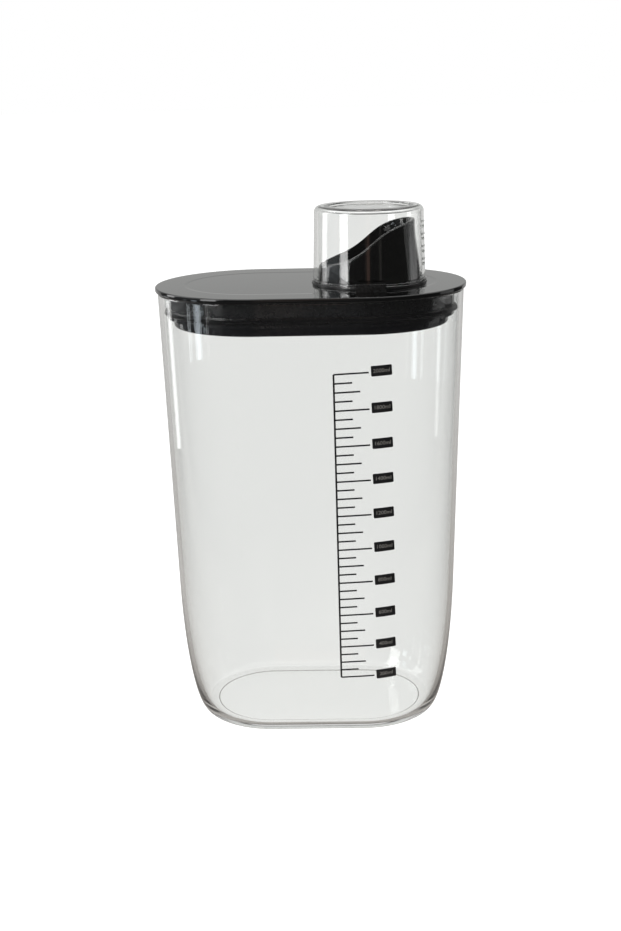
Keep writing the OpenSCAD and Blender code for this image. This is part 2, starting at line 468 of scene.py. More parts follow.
def rounded(corners: list[Point], steps: int = 5) -> list[Pair]:
    """Rounds the corners of an open profile.

    Args:
        corners: The corners, each with the radius that rounds it, or 0 where it stays sharp.
        steps: Stretches in each rounding.

    Returns:
        The profile's points.
    """
    points = [corners[0][:2]]
    for before, corner, after in zip(corners, corners[1:], corners[2:]):
        here = Vector(corner[:2])
        back = (Vector(before[:2]) - here).normalized()
        ahead = (Vector(after[:2]) - here).normalized()
        if not corner[2]:
            points.append(corner[:2])
            continue
        half = back.angle(ahead) / 2
        centre = here + (back + ahead).normalized() * corner[2] / math.sin(half)
        first, last = (here + way * corner[2] / math.tan(half) - centre for way in (back, ahead))
        start = math.degrees(math.atan2(first.y, first.x))
        sweep = (math.degrees(math.atan2(last.y, last.x)) - start + 180) % 360 - 180
        points += arc(tuple(centre), corner[2], start, start + sweep, steps)
    return points + [corners[-1][:2]]


def stadium(half_length: float, half_depth: float, height: float, steps: int = 72, along: int = 24) -> Ring:
    """A ring round a stadium, two half circles joined by straight sides.

    Args:
        half_length: Half its length along X.
        half_depth: Half its depth along Y, the radius of the ends.
        height: The height that the ring lies at.
        steps: Stretches on each half circle.
        along: Stretches on each straight side.

    Returns:
        The ring's points.
    """
    straight = half_length - half_depth
    ring = []
    for side in (1, -1):
        for step in range(steps):
            turn = math.radians(180 * step / steps - 90) + (0 if side == 1 else math.pi)
            ring.append(about(side * straight, half_depth, turn, height))
        for step in range(along):
            ring.append((side * straight * (1 - 2 * step / along), side * half_depth, height))
    return ring


def about(axis_x: float, radius: float, turn: float, height: float) -> Point:
    """The point about an upright axis at a radius, in a direction given in radians, at a height."""
    return (axis_x + radius * math.cos(turn), radius * math.sin(turn), height)


def lathe(profile: list[Pair], axis_x: float, steps: int) -> list[Ring]:
    """Rings that turn a profile about an upright axis.

    Args:
        profile: Radii and heights.
        axis_x: Where the axis stands on X.
        steps: Stretches round the axis.

    Returns:
        One ring for each point of the profile.
    """
    turns = [2 * math.pi * step / steps for step in range(steps)]
    return [[about(axis_x, r, turn, z) for turn in turns] for r, z in profile]


def figures(text: str, size: float) -> bpy.types.Mesh:
    """Makes upright figures, one unit deep on either side of their plane.

    Args:
        text: What they say.
        size: The height of a line.

    Returns:
        Their mesh, centred on the origin in X and Y.
    """
    curve = bpy.data.curves.new("figures", "FONT")
    curve.body = text
    curve.size = size
    curve.align_x = "CENTER"
    curve.align_y = "CENTER"
    curve.resolution_u = 3
    curve.extrude = 1.0
    source = bpy.data.objects.new("figures", curve)
    bpy.context.scene.collection.objects.link(source)
    graph = bpy.context.evaluated_depsgraph_get()
    data = bpy.data.meshes.new_from_object(source.evaluated_get(graph))
    bpy.data.objects.remove(source)
    return data


def spread(data: bpy.types.Mesh) -> float:
    """Width of a mesh along X."""
    across = [vertex.co.x for vertex in data.vertices]
    return max(across) - min(across)


def cut_and_bevel(piece: bpy.types.Object, cutters: list[bpy.types.Object], bevel: float) -> None:
    """Cuts solids out of a piece, rounds its edges and removes the cutters.

    Args:
        piece: The piece to change.
        cutters: The solids to take away.
        bevel: The width of the rounded edges.
    """
    for cutter in cutters:
        cut = piece.modifiers.new("cut", "BOOLEAN")
        cut.operation = "DIFFERENCE"
        cut.solver = "EXACT"
        cut.object = cutter
    rounding = piece.modifiers.new("round", "BEVEL")
    rounding.width = bevel
    rounding.segments = 3
    rounding.limit_method = "ANGLE"
    rounding.angle_limit = math.radians(40)
    rounding.use_clamp_overlap = True
    graph = bpy.context.evaluated_depsgraph_get()
    data = bpy.data.meshes.new_from_object(piece.evaluated_get(graph))
    piece.modifiers.clear()
    piece.data = data
    for cutter in cutters:
        bpy.data.objects.remove(cutter)
    smooth(piece)


# Sub-assemblies


@dataclass
class Container:
    """The clear body with its rounded foot and the scale printed on its front."""

    length: float = 151.6 * MM
    depth: float = 100.6 * MM
    height: float = 222.5 * MM
    wall: float = 2.2 * MM
    floor: float = 3.0 * MM
    draft_length: float = 6.0 * MM
    draft_depth: float = 4.2 * MM
    round_height: float = 69.0 * MM
    round_in: float = 9.6 * MM
    foot_width: float = 6.0 * MM
    foot_hollow: float = 0.8 * MM
    foot_round: float = 0.35 * MM
    foot_start: float = 0.2
    rim_round: float = 0.95 * MM
    base_levels: int = 26
    wall_levels: int = 14

    def half_plan(self, height: float) -> Pair:
        """Half length and half depth of the outside.

        Args:
            height: The height above the surface that the container stands on.

        Returns:
            Half the length and half the depth there.
        """
        low = 1 - height / self.height
        drop = max(0.0, (self.round_height - height) / self.round_height)
        drawn_in = self.round_in * (1 - math.sqrt(max(0.0, 1 - drop * drop)))
        return (
            self.length / 2 - self.draft_length * low - drawn_in,
            self.depth / 2 - self.draft_depth * low - drawn_in,
        )

    def inset_ring(self, plan_height: float, inset: float, height: float) -> Ring:
        """A ring inside the outline of one height, drawn at another height."""
        half_length, half_depth = self.half_plan(plan_height)
        return stadium(half_length - inset, half_depth - inset, height)

    def body_rings(self) -> list[Ring]:
        """Rings from the hollow under the foot, up the outside, over the rim and down to the floor."""
        levels = range(self.base_levels + 1)
        quarter = [1 - math.cos(math.pi / 2 * level / self.base_levels) for level in levels]
        high, wall, bend = self.height, self.wall, self.rim_round
        top = high - bend
        straight = [(level + 1) / self.wall_levels for level in range(self.wall_levels)]
        outside = [self.round_height * share for share in quarter]
        outside += [self.round_height + (top - self.round_height) * share for share in straight]
        hollow, foot, edge = self.foot_hollow, self.foot_width, self.foot_round
        land = self.foot_start * foot
        under = rounded([(2 * foot, hollow, 0), (foot, hollow, edge), (foot, 0, edge), (land, 0, 0)])
        rings = [self.inset_ring(0, inset, z) for inset, z in under]
        rings += [self.inset_ring(z, 0, z) for z in outside]
        rim = rounded([(0, top, 0), (0, high, bend), (wall, high, bend), (wall, top, 0)])
        rings += [self.inset_ring(high, inset, z) for inset, z in rim[1:]]
        rise = (self.round_height - self.floor) / self.round_height
        for z in reversed(outside[:-1]):
            inner = z if z >= self.round_height else self.floor + z * rise
            rings.append(self.inset_ring(z, wall, inner))
        return rings

    def build(self, clear: Material) -> None:
        """Builds the body.

        Args:
            clear: The clear plastic.
        """
        skin = Skin()
        skin.solid(self.body_rings())
        finish_piece(skin.piece("container_body"), clear, Body.CONTAINER, ("container",))

    def on_front(self, x: float, z: float, lift: float) -> Vector:
        """A point on the front wall.

        Args:
            x: Its place along X.
            z: Its height.
            lift: How far it stands out from the wall.

        Returns:
            The point.
        """
        half_length, half_depth = self.half_plan(z)
        straight = half_length - half_depth
        across = max(0.0, abs(x) - straight)
        depth = math.sqrt(half_depth * half_depth - across * across)
        outward = Vector((math.copysign(across, x), -depth, 0)).normalized()
        return Vector((x, -depth, z)) + outward * lift


@dataclass
class PrintedScale:
    """The volume scale on the container's front wall: a line, ticks and numbers in black boxes."""

    container: Container
    line_top: Pair = (10.9 * MM, 188.5 * MM)
    line_foot: Pair = (12.4 * MM, 32.4 * MM)
    crowding: float = 0.025
    majors: int = 10
    minors: int = 4
    tick_rise: float = 0.048
    long_tick: float = 16.6 * MM
    middle_tick: float = 12.4 * MM
    short_tick: float = 8.7 * MM
    line_width: float = 0.9 * MM
    tick_width: float = 0.8 * MM
    box_gap: float = 1.0 * MM
    box_size: Pair = (9.9 * MM, 5.1 * MM)
    box_lift: float = 0.45 * MM
    box_round: float = 0.5 * MM
    number_width: float = 7.8 * MM
    per_major: int = 200
    film: Pair = (0.01 * MM, 0.05 * MM)
    over_film: Pair = (0.06 * MM, 0.09 * MM)
    strip_step: float = 1.2 * MM
    corner_steps: tuple[float, ...] = (0.0, 0.08, 0.3, 0.6)

    def along(self, share: float) -> Vector:
        """The point at a share of the line, as x and z. The ticks crowd a little downward."""
        share += self.crowding * share * (1 - share)
        return Vector(self.line_top).lerp(Vector(self.line_foot), share)

    def strip(self, skin: Skin, start: Vector, end: Vector, width: float, corner: float = 0.0) -> None:
        """Adds a thin closed strip of ink that follows the wall.

        Args:
            skin: The mesh that it joins.
            start: One end, as x and z.
            end: The other end.
            width: How wide it is.
            corner: The radius of its corners.
        """
        length = (end - start).length
        across = Vector((-(end - start).y, (end - start).x)).normalized()
        count = max(1, round(length / self.strip_step))
        nooks = [corner * share for share in self.corner_steps] if corner else [0.0]
        middle_part = length - 2 * corner
        places = nooks + [corner + middle_part * step / count for step in range(0 if corner else 1, count)]
        ending = ([corner] if corner else []) + nooks[::-1]
        rings = []
        for place in places + [length - nook for nook in ending]:
            into = max(0.0, 1 - min(place, length - place) / corner) if corner else 0.0
            half = width / 2 - corner * (1 - math.sqrt(1 - into * into))
            middle = start.lerp(end, place / length)
            low, high = middle - across * half, middle + across * half
            corners = ((low, 0), (high, 0), (high, 1), (low, 1))
            on_front = self.container.on_front
            rings.append([tuple(on_front(at.x, at.y, self.film[side])) for at, side in corners])
        skin.solid(rings)

    def number(self, value: int, centre: Vector) -> bpy.types.Mesh:
        """Makes a number that lies on the wall.

        Args:
            value: The volume in millilitres.
            centre: The middle of the number, as x and z.

        Returns:
            The number as a mesh.
        """
        widest = figures(str(self.per_major * self.majors) + "ml", 1.0)
        data = figures(str(value) + "ml", self.number_width / spread(widest))
        for vertex in data.vertices:
            x, y, side = vertex.co
            lift = self.over_film[1] if side > 0 else self.over_film[0]
            vertex.co = self.container.on_front(centre.x + x, centre.y + y + x * self.tick_rise, lift)
        return data

    def build(self, black: Material, pale: Material) -> None:
        """Builds the black print and the pale numbers.

        Args:
            black: The black ink.
            pale: The pale ink.
        """
        skin = Skin()
        self.strip(skin, self.along(0), self.along(1), self.line_width)
        right = Vector((1, self.tick_rise)).normalized()
        gaps = (self.majors - 1) * self.minors
        lengths = {0: self.long_tick, 2: self.middle_tick}
        for tick in range(gaps + 1):
            start = self.along(tick / gaps)
            length = lengths.get(tick % self.minors, self.short_tick)
            self.strip(skin, start, start + right * length, self.tick_width)
        numbers = Skin()
        for major in range(self.majors):
            left = self.along(major / (self.majors - 1)) + right * (self.long_tick + self.box_gap)
            left += Vector((0, self.box_lift))
            middle = left + right * self.box_size[0] / 2
            self.strip(skin, left, left + right * self.box_size[0], self.box_size[1], self.box_round)
            numbers.mesh.from_mesh(self.number(self.per_major * (self.majors - major), middle))
        finish_piece(skin.piece("scale_print", sharp=60), black, Body.CONTAINER)
        finish_piece(numbers.piece("scale_numbers"), pale, Body.CONTAINER)


@dataclass
class Lid:
    """The black plate with its hooks, and the plug and seal that go down into the container."""

    container: Container
    spout_x: float = 29.2 * MM
    overhang: float = 1.2 * MM
    plate: float = 2.4 * MM
    edge_round: float = 0.7 * MM
    hole_radius: float = 24.55 * MM
    ring_inner: float = 25.6 * MM
    ring_outer: float = 28.25 * MM
    ring_sunk: float = 0.6 * MM
    ring_soft: float = 0.12 * MM
    seat_gap: float = 0.15 * MM
    hook_width: float = 14.5 * MM
    hook_height: float = 3.6 * MM
    nose: float = 1.1 * MM
    nose_radius: float = 28.7 * MM
    slot_radius: float = 31.15 * MM
    slot_low: float = 0.02 * MM
    hook_length: float = 7.6 * MM
    hook_start: float = 0.8
    hook_sunk: float = 0.3 * MM
    hook_bevel: float = 0.28 * MM
    clearance: float = 1.0 * MM
    stop_angle: float = 10.98
    rib_height: float = 3.5 * MM
    rib_width: float = 1.6 * MM
    rib_radius: float = 43.15 * MM
    dish_inset: float = 16.0 * MM
    dish_depth: float = 0.1 * MM
    dish_slope: tuple[Pair, ...] = (
        (-20, 0),
        (-18, 0.02),
        (-14, 0.2),
        (-9, 0.5),
        (-4, 0.8),
        (0, 0.98),
        (2, 1),
    )
    around: int = 96
    drum_steps: int = 160
    top: float = field(init=False)

    def __post_init__(self) -> None:
        """Works out the height of the plate's top."""
        self.top = self.container.height + self.plate

    def outline(self, inset: float, height: float) -> Ring:
        """A ring inside the plate's outline."""
        half_length = self.container.length / 2 + self.overhang - inset
        half_depth = self.container.depth / 2 + self.overhang - inset
        return stadium(half_length, half_depth, height, self.around)

    def circle(self, radius: float, height: float) -> Ring:
        """A ring about the spout's axis whose points face those of the outline."""
        turns = [math.atan2(y, x - self.spout_x) for x, y, _ in self.outline(0, 0)]
        return [about(self.spout_x, radius, turn, height) for turn in turns]

    def plate_rings(self) -> list[Ring]:
        """Rings round the plate's section, from the rib below, over the edge and the dish to the hole."""
        low = self.container.height
        rib_out = self.container.depth / 2 + self.overhang - self.rib_radius
        rib = [(rib_out + self.rib_width, low), (rib_out + self.rib_width, low - self.rib_height)]
        rib += [(rib_out, low - self.rib_height), (rib_out, low)]
        edge = arc((self.edge_round, low + self.edge_round), self.edge_round, 270, 180, 4)
        edge += arc((self.edge_round, self.top - self.edge_round), self.edge_round, 180, 90, 5)
        dish = self.top - self.dish_depth
        for shift, fall in self.dish_slope:
            edge.append((self.dish_inset + shift * self.dish_depth, self.top - fall * self.dish_depth))
        rings = [self.outline(inset, z) for inset, z in rib + edge]
        groove = self.top - self.ring_sunk
        outer, inner = self.ring_outer + self.seat_gap, self.ring_inner - self.seat_gap
        soft = self.ring_soft
        circles = [(outer + 2 * soft, dish), (outer + soft, dish), (outer, dish - soft), (outer, groove)]
        circles += [(inner, groove), (inner, dish - soft), (inner - soft, dish), (self.hole_radius, dish)]
        return rings + [self.circle(r, z) for r, z in circles + [(self.hole_radius, low)]]

    def hook(self, name: str, turn: float) -> bpy.types.Object:
        """Makes one hook beside the spout.

        Args:
            name: The hook's name.
            turn: Its direction about the spout's axis, in degrees from the front.

        Returns:
            The hook.
        """
        reach = self.nose_radius + self.hook_length
        half = math.degrees(math.asin(self.hook_width / (self.nose_radius + self.slot_radius)))
        block = Skin()
        x, tall, start = self.hook_width / 2, self.hook_height, self.nose_radius * self.hook_start
        plan = [(-x, -reach), (x, -reach), (x, -start), (-x, -start)]
        block.solid([[(*corner, z) for corner in plan] for z in (-self.hook_sunk, tall)])
        first, last = -90 - 3 * half, -90 + self.stop_angle
        cutters = [
            self.drum(self.nose_radius, -self.clearance, tall + self.clearance, 0, 360),
            self.drum(self.slot_radius, self.slot_low, tall - self.nose, first, last),
        ]
        hook = block.piece(name)
        cut_and_bevel(hook, cutters, self.hook_bevel)
        turned = Matrix.Rotation(math.radians(turn), 4, "Z")
        hook.data.transform(Matrix.Translation((self.spout_x, 0, self.top)) @ turned)
        return hook

    def drum(self, radius: float, low: float, high: float, start: float, end: float) -> bpy.types.Object:
        """Makes a round cutter, or a slice of one, about the origin.

        Args:
            radius: Its radius.
            low: The height of its underside.
            high: The height of its top.
            start: The angle where a slice starts, in degrees.
            end: The angle where it ends.

        Returns:
            The cutter.
        """
        rim = arc((0, 0), radius, start, end, self.drum_steps)
        rim = rim[:-1] if end - start >= 360 else [(0.0, 0.0)] + rim
        skin = Skin()
        skin.solid([[(x, y, z) for x, y in rim] for z in (low, high)])
        return skin.piece("cutter")

    def build(self, black: Material, plug: Material, rubber: Material) -> None:
        """Builds the plate and the hooks, and dresses the plug and the seal.

        Args:
            black: The lid's gloss plastic.
            plug: The plug's plastic.
            rubber: The seal's silicone.
        """
        skin = Skin()
        skin.loft(self.plate_rings(), closed=True)
        finish_piece(skin.piece("lid_plate"), black, Body.LID, ("lid_cover",))
        for name, turn in (("hook_front", 0), ("hook_back", 180)):
            finish_piece(self.hook(name, turn), black, Body.LID)
        for name, finish in (("lid_plug", plug), ("lid_seal", rubber)):
            dress_node(name, finish)


@dataclass
class Spout:
    """The pour spout with its slanted S-shaped mouth."""

    lid: Lid
    radius: float = 22.5 * MM
    foot_radius: float = 25.3 * MM
    flare: float = 30.0 * MM
    wall: float = 1.8 * MM
    mouth_low: float = 9.4 * MM
    mouth_high: float = 31.0 * MM
    mouth_bend: float = 9.3 * MM
    mouth_swing: float = 0.53
    neck_step: float = 0.9 * MM
    neck_top: float = 0.3 * MM
    foot_step: float = 0.2 * MM
    foot_rise: float = 0.15 * MM
    gasket: float = 0.8 * MM
    flange: float = 1.6 * MM
    flange_width: float = 3.0 * MM
    lip_round: float = 1.0 * MM
    lip_inner_round: float = 0.4 * MM
    around: int = 240
    levels: int = 30
    lip_steps: tuple[int, int] = (7, 5)
    lip_rounds: int = 12

    def outside(self, height: float) -> float:
        """Outside radius at a height above the plate."""
        if height >= self.flare:
            return self.radius
        share = (1 + math.cos(math.pi * height / self.flare)) / 2
        return self.radius + (self.foot_radius - self.radius) * share

    def mouth(self, x: float) -> float:
        """Height of the mouth above the plate, at x from the spout's axis."""
        middle = (self.mouth_low + self.mouth_high) / 2
        rise = (self.mouth_high - self.mouth_low) / 2
        steep = math.tanh(x / self.mouth_bend) / math.tanh(self.radius / self.mouth_bend)
        return middle + rise * (self.mouth_swing * steep + (1 - self.mouth_swing) * x / self.radius)

    def lip(self, turn: float, inset: float, drop: float) -> Pair:
        """Where the mouth cuts the wall.

        Args:
            turn: The direction about the axis, in radians.
            inset: How far inside the outer face.
            drop: How far below the cut.

        Returns:
            The radius and the height above the plate.
        """
        height = self.mouth_low
        for _ in range(self.lip_rounds):
            height = self.mouth((self.outside(height) - inset) * math.cos(turn)) - drop
        return self.outside(height) - inset, height

    def column(self, turn: float) -> list[Pair]:
        """Radii and heights round the wall's section in one direction, from the flange up and back."""
        base, start = self.neck_radius, self.foot_rise
        low = -self.lid.plate - self.gasket
        points = [(base + self.flange_width, low), (base, low), (base, -self.neck_top)]
        points += [(self.foot_radius - self.foot_step, 0.0)]
        _, top = self.lip(turn, 0, self.lip_round)
        rise = [start + (top - start) * level / self.levels for level in range(self.levels + 1)]
        points += [(self.outside(height), height) for height in rise]
        outer, inner = self.lip_round, self.lip_inner_round
        over = arc((outer, outer), outer, 180, 270, self.lip_steps[0])[1:]
        over += arc((self.wall - inner, inner), inner, 270, 360, self.lip_steps[1])
        points += [self.lip(turn, inset, drop) for inset, drop in over]
        _, inner_top = self.lip(turn, self.wall, inner)
        fall = [inner_top * (1 - (level + 1) / self.levels) for level in range(self.levels)]
        points += [(self.outside(height) - self.wall, height) for height in fall]
        bottom, bore = low - self.flange, base - self.wall
        return points + [(bore, -self.wall), (bore, bottom), (base + self.flange_width, bottom)]

    @property
    def neck_radius(self) -> float:
        """Outside radius of the neck in the plate's hole."""
        return self.foot_radius - self.neck_step

    def build(self, black: Material, rubber: Material) -> None:
        """Builds the spout and dresses its gasket.

        Args:
            black: The spout's gloss plastic.
            rubber: The gasket's silicone.
        """
        turns = [2 * math.pi * step / self.around for step in range(self.around)]
        columns = [self.column(turn) for turn in turns]
        axis_x, top = self.lid.spout_x, self.lid.top
        rings = []
        for level in zip(*columns):
            rings.append([about(axis_x, r, turn, top + z) for turn, (r, z) in zip(turns, level)])
        skin = Skin()
        skin.loft(rings, closed=True)
        finish_piece(skin.piece("spout_tube", sharp=50), black, Body.LID, ("pour_spout",))
        dress_node("spout_gasket", rubber)


@dataclass
class Cup:
    """The clear measuring cup that caps the spout upside down, with the ring that it seals on."""

    axis_x: float
    foot: float
    rim_radius: float = 27.75 * MM
    end_radius: float = 26.8 * MM
    height: float = 36.5 * MM
    wall: float = 1.5 * MM
    shoulder: float = 3.0 * MM
    hollow_radius: float = 19.6 * MM
    hollow_depth: float = 1.1 * MM
    hollow_round: float = 0.9 * MM
    hollow_lean: float = 0.25 * MM
    centre_radii: tuple[float, ...] = (2 * MM, 8 * MM, 12 * MM)
    inner_round: float = 1.5 * MM
    round_steps: tuple[int, int] = (10, 8)
    bead_out: float = 0.5 * MM
    bead: float = 1.2 * MM
    bead_foot: float = 0.48 * MM
    bead_blend: float = 0.4 * MM
    bead_nook: float = 0.1 * MM
    lug_sunk: float = 0.1 * MM
    lug_out: float = 2.6 * MM
    lug_angle: float = 11.0
    lug_rest: float = 21.02
    ribs: int = 72
    rib_zone: Pair = (15.0 * MM, 18.6 * MM)
    rib_depth: float = 0.16 * MM
    rib_steps: int = 8
    rib_waves: tuple[int, ...] = (1, 0, -1, 0)
    mark_turn: float = -16.0
    mark_from: float = 8.4 * MM
    mark_pitch: float = 6.0 * MM
    mark_rows: int = 4
    mark_reach: Pair = (0.01 * MM, 0.35 * MM)
    mark_width: float = 0.7 * MM
    mark_half: float = 7.0
    figure_size: float = 2.0 * MM
    per_mark: int = 20

    def radius(self, height: float) -> float:
        """Outside radius at a height above the rim."""
        share = height / (self.height - self.shoulder)
        return self.rim_radius + (self.end_radius - self.rim_radius) * share

    def side(self, low: float, high: float, inset: float = 0.0, steps: int = 14) -> list[Pair]:
        """Points along the side wall.

        Args:
            low: The height of the first point above the rim.
            high: The height of the last point.
            inset: How far inside the outer face they lie.
            steps: Stretches between them.

        Returns:
            Radii and heights.
        """
        rise = [low + (high - low) * step / steps for step in range(steps + 1)]
        return [(self.radius(height) - inset, height) for height in rise]

    def profile(self) -> list[Pair]:
        """Radii and heights round the wall, from the middle of the closed end out, down and back inside."""
        high, wall, bend, lean = self.height, self.wall, self.hollow_round, self.hollow_lean
        low = high - self.hollow_depth
        centre = [(r, low) for r in self.centre_radii]
        start, reach, steps = self.rib_zone[0], self.rib_zone[1], self.rib_steps
        ribbed = [(start + (reach - start) * step / steps, low) for step in range(steps + 1)]
        hollow, edge = self.hollow_radius, self.end_radius
        end = [(*ribbed[-1], 0), (hollow, low, bend), (hollow + lean, high, bend)]
        end += [(edge, high, self.shoulder)]
        below = high - 2 * self.shoulder
        outer = rounded(end + [(self.radius(below), below, 0)], self.round_steps[0])
        bead, foot = self.bead, self.bead_foot
        bead_radius, over = self.rim_radius + self.bead_out, bead + self.bead_blend
        rim = [(self.radius(over), over, 0), (self.radius(bead), bead, self.bead_nook)]
        rim += [(bead_radius, bead, foot), (bead_radius, 0, foot / 2), (self.rim_radius - wall, 0, foot)]
        rim += [(self.radius(2 * foot) - wall, 2 * foot, 0)]
        step_in, ceiling = hollow + wall, low - wall
        inner = [(self.radius(below) - wall, below, 0), (edge - wall, high - wall, self.inner_round)]
        inner += [(step_in + lean, high - wall, bend), (step_in, ceiling, 2 * bend), (reach, ceiling, 0)]
        points = centre + ribbed[:-1] + outer[:-1] + self.side(below, bead + 2 * self.bead_blend)
        points += rounded(rim) + self.side(2.5 * foot, below, wall)[:-1]
        points += rounded(inner, self.round_steps[1])
        return points + [(r, ceiling) for r in (self.centre_radii[-1], self.centre_radii[0])]

    def rings(self) -> list[Ring]:
        """The turned profile, with short radial ribs pressed into the hollow of the closed end."""
        profile, waves = self.profile(), self.rib_waves
        start, reach = self.rib_zone
        rings = []
        for (r, z), ring in zip(profile, lathe(profile, self.axis_x, len(waves) * self.ribs)):
            inside = (r - start) / (reach - start)
            lift = 0.0
            if 0 < inside < 1 and z > self.height - self.hollow_depth - self.wall / 2:
                lift = self.rib_depth * math.sin(math.pi * inside)
            heights = [self.foot + z + lift * wave for wave in waves]
            rings.append([(x, y, heights[at % len(waves)]) for at, (x, y, _) in enumerate(ring)])
        return rings

    def bar(self, skin: Skin, low: float, high: float, turns: Pair, reach: Pair) -> None:
        """Adds a closed bar that follows the cup's round.

        Args:
            skin: The mesh that it joins.
            low: The height of its underside above the rim.
            high: The height of its top.
            turns: Where it starts and ends about the axis, in degrees.
            reach: How far its inner and outer faces stand out from the wall at its foot.
        """
        steps = max(4, round(abs(turns[1] - turns[0])))
        rings = []
        for step in range(steps + 1):
            turn = math.radians(turns[0] + (turns[1] - turns[0]) * step / steps)
            section = ((0, low), (1, low), (1, high), (0, high))
            places = [(self.radius(z) + reach[side], z) for side, z in section]
            rings.append([about(self.axis_x, r, turn, self.foot + z) for r, z in places])
        skin.solid(rings)

    def lugs(self) -> Skin:
        """The two lugs at the rim that the cup turns under the lid's hooks."""
        skin = Skin()
        for hook in (-90, 90):
            middle = hook - self.lug_rest
            turns = (middle - self.lug_angle / 2, middle + self.lug_angle / 2)
            reach = (self.bead_out - self.lug_sunk, self.bead_out + self.lug_out)
            self.bar(skin, 0, self.bead, turns, reach)
        return skin

    def marks(self) -> Skin:
        """Raised bars with figures that mark the cup's volumes."""
        skin = Skin()
        for row in range(self.mark_rows):
            height = self.mark_from + row * self.mark_pitch + self.mark_pitch / 3
            turns = (self.mark_turn - self.mark_half, self.mark_turn + self.mark_half)
            self.bar(skin, height, height + self.mark_width, turns, self.mark_reach)
            amount = figures(str(self.per_mark * (self.mark_rows - row)) + "ml", self.figure_size)
            for vertex in amount.vertices:
                x, y, side = vertex.co
                z = height - self.mark_pitch / 3 + y
                r = self.radius(z) + self.mark_reach[1 if side > 0 else 0]
                turn = math.radians(self.mark_turn) + x / self.radius(z)
                vertex.co = about(self.axis_x, r, turn, self.foot + z)
            skin.mesh.from_mesh(amount)
        return skin

    def build(self, clear: Material, frosted: Material, rubber: Material) -> None:
        """Builds the cup and dresses its ring.

        Args:
            clear: The cup's clear plastic.
            frosted: The same plastic where it is moulded matt.
            rubber: The ring's silicone.
        """
        skin = Skin()
        skin.solid(self.rings())
        finish_piece(skin.piece("cup_shell"), clear, Body.CUP, ("measuring_cup",))
        finish_piece(self.lugs().piece("cup_lugs"), clear, Body.CUP)
        finish_piece(self.marks().piece("cup_marks"), frosted, Body.CUP)
        dress_node("cup_seal", rubber)


def dress_node(name: str, material: Material) -> None:
    """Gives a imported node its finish.

    Args:
        name: The node's name.
        material: Its finish.
    """
    node = bpy.data.objects[name]
    node.data.materials.clear()
    node.data.materials.append(material)
    smooth(node, sharp=30)
    hold_flats(node)
    LOG.info("%s: %d faces, dressed", name, len(node.data.polygons))


# Studio


@dataclass(frozen=True)
class Camera:
    """The camera at the photograph's viewing angle."""

    azimuth: float = 1.33
    elevation: float = 15.91
    roll: float = -1.24
    distance: float = 712.25 * MM
    target: Point = (-1.92 * MM, 0.0, 130.32 * MM)
    lens: float = 53.51
    sensor: float = 36.0
    clip: Pair = (0.01, 60.0)

    def build(self) -> None:
        """Makes the camera and sets it as the scene's."""
        data = bpy.data.cameras.new("camera")
        data.lens = self.lens
        data.sensor_width = self.sensor
        data.clip_start, data.clip_end = self.clip
        camera = bpy.data.objects.new("camera", data)
        turn, tilt, roll = (math.radians(angle) for angle in (self.azimuth, self.elevation, self.roll))
        back = Vector((math.sin(turn) * math.cos(tilt), -math.cos(turn) * math.cos(tilt), math.sin(tilt)))
        right = (-back).cross(Vector((0, 0, 1))).normalized()
        up = right.cross(-back)
        across = right * math.cos(roll) + up * math.sin(roll)
        upward = up * math.cos(roll) - right * math.sin(roll)
        place = Matrix((across, upward, back)).transposed().to_4x4()
        place.translation = Vector(self.target) + back * self.distance
        camera.matrix_world = place
        bpy.context.scene.collection.objects.link(camera)
        bpy.context.scene.camera = camera


@dataclass(frozen=True)
class Panel:
    """A soft upright lamp that stands round the object, turned to the spout's axis."""

    name: str
    turn: float
    width: float
    radiance: float
    low: float = 0.0
    high: float = 1.5
    distance: float = 1.15
    colour: Colour = (1.0, 1.0, 1.0)

    def build(self, centre_x: float) -> None:
        """Makes the lamp.

        Args:
            centre_x: Where the axis that it faces stands on X.
        """
        height = self.high - self.low
        data = bpy.data.lights.new(self.name, "AREA")
        data.shape = "RECTANGLE"
        data.size, data.size_y = self.width, height
        data.color = self.colour
        data.energy = self.radiance * math.pi * self.width * height
        lamp = bpy.data.objects.new(self.name, data)
        turn = math.radians(self.turn)
        outward = Vector((-math.sin(turn), -math.cos(turn), 0))
        lamp.location = Vector((centre_x, 0, self.low + height / 2)) + outward * self.distance
        lamp.rotation_euler = outward.to_track_quat("Z", "Y").to_euler()
        lamp.visible_camera = False
        bpy.context.scene.collection.objects.link(lamp)


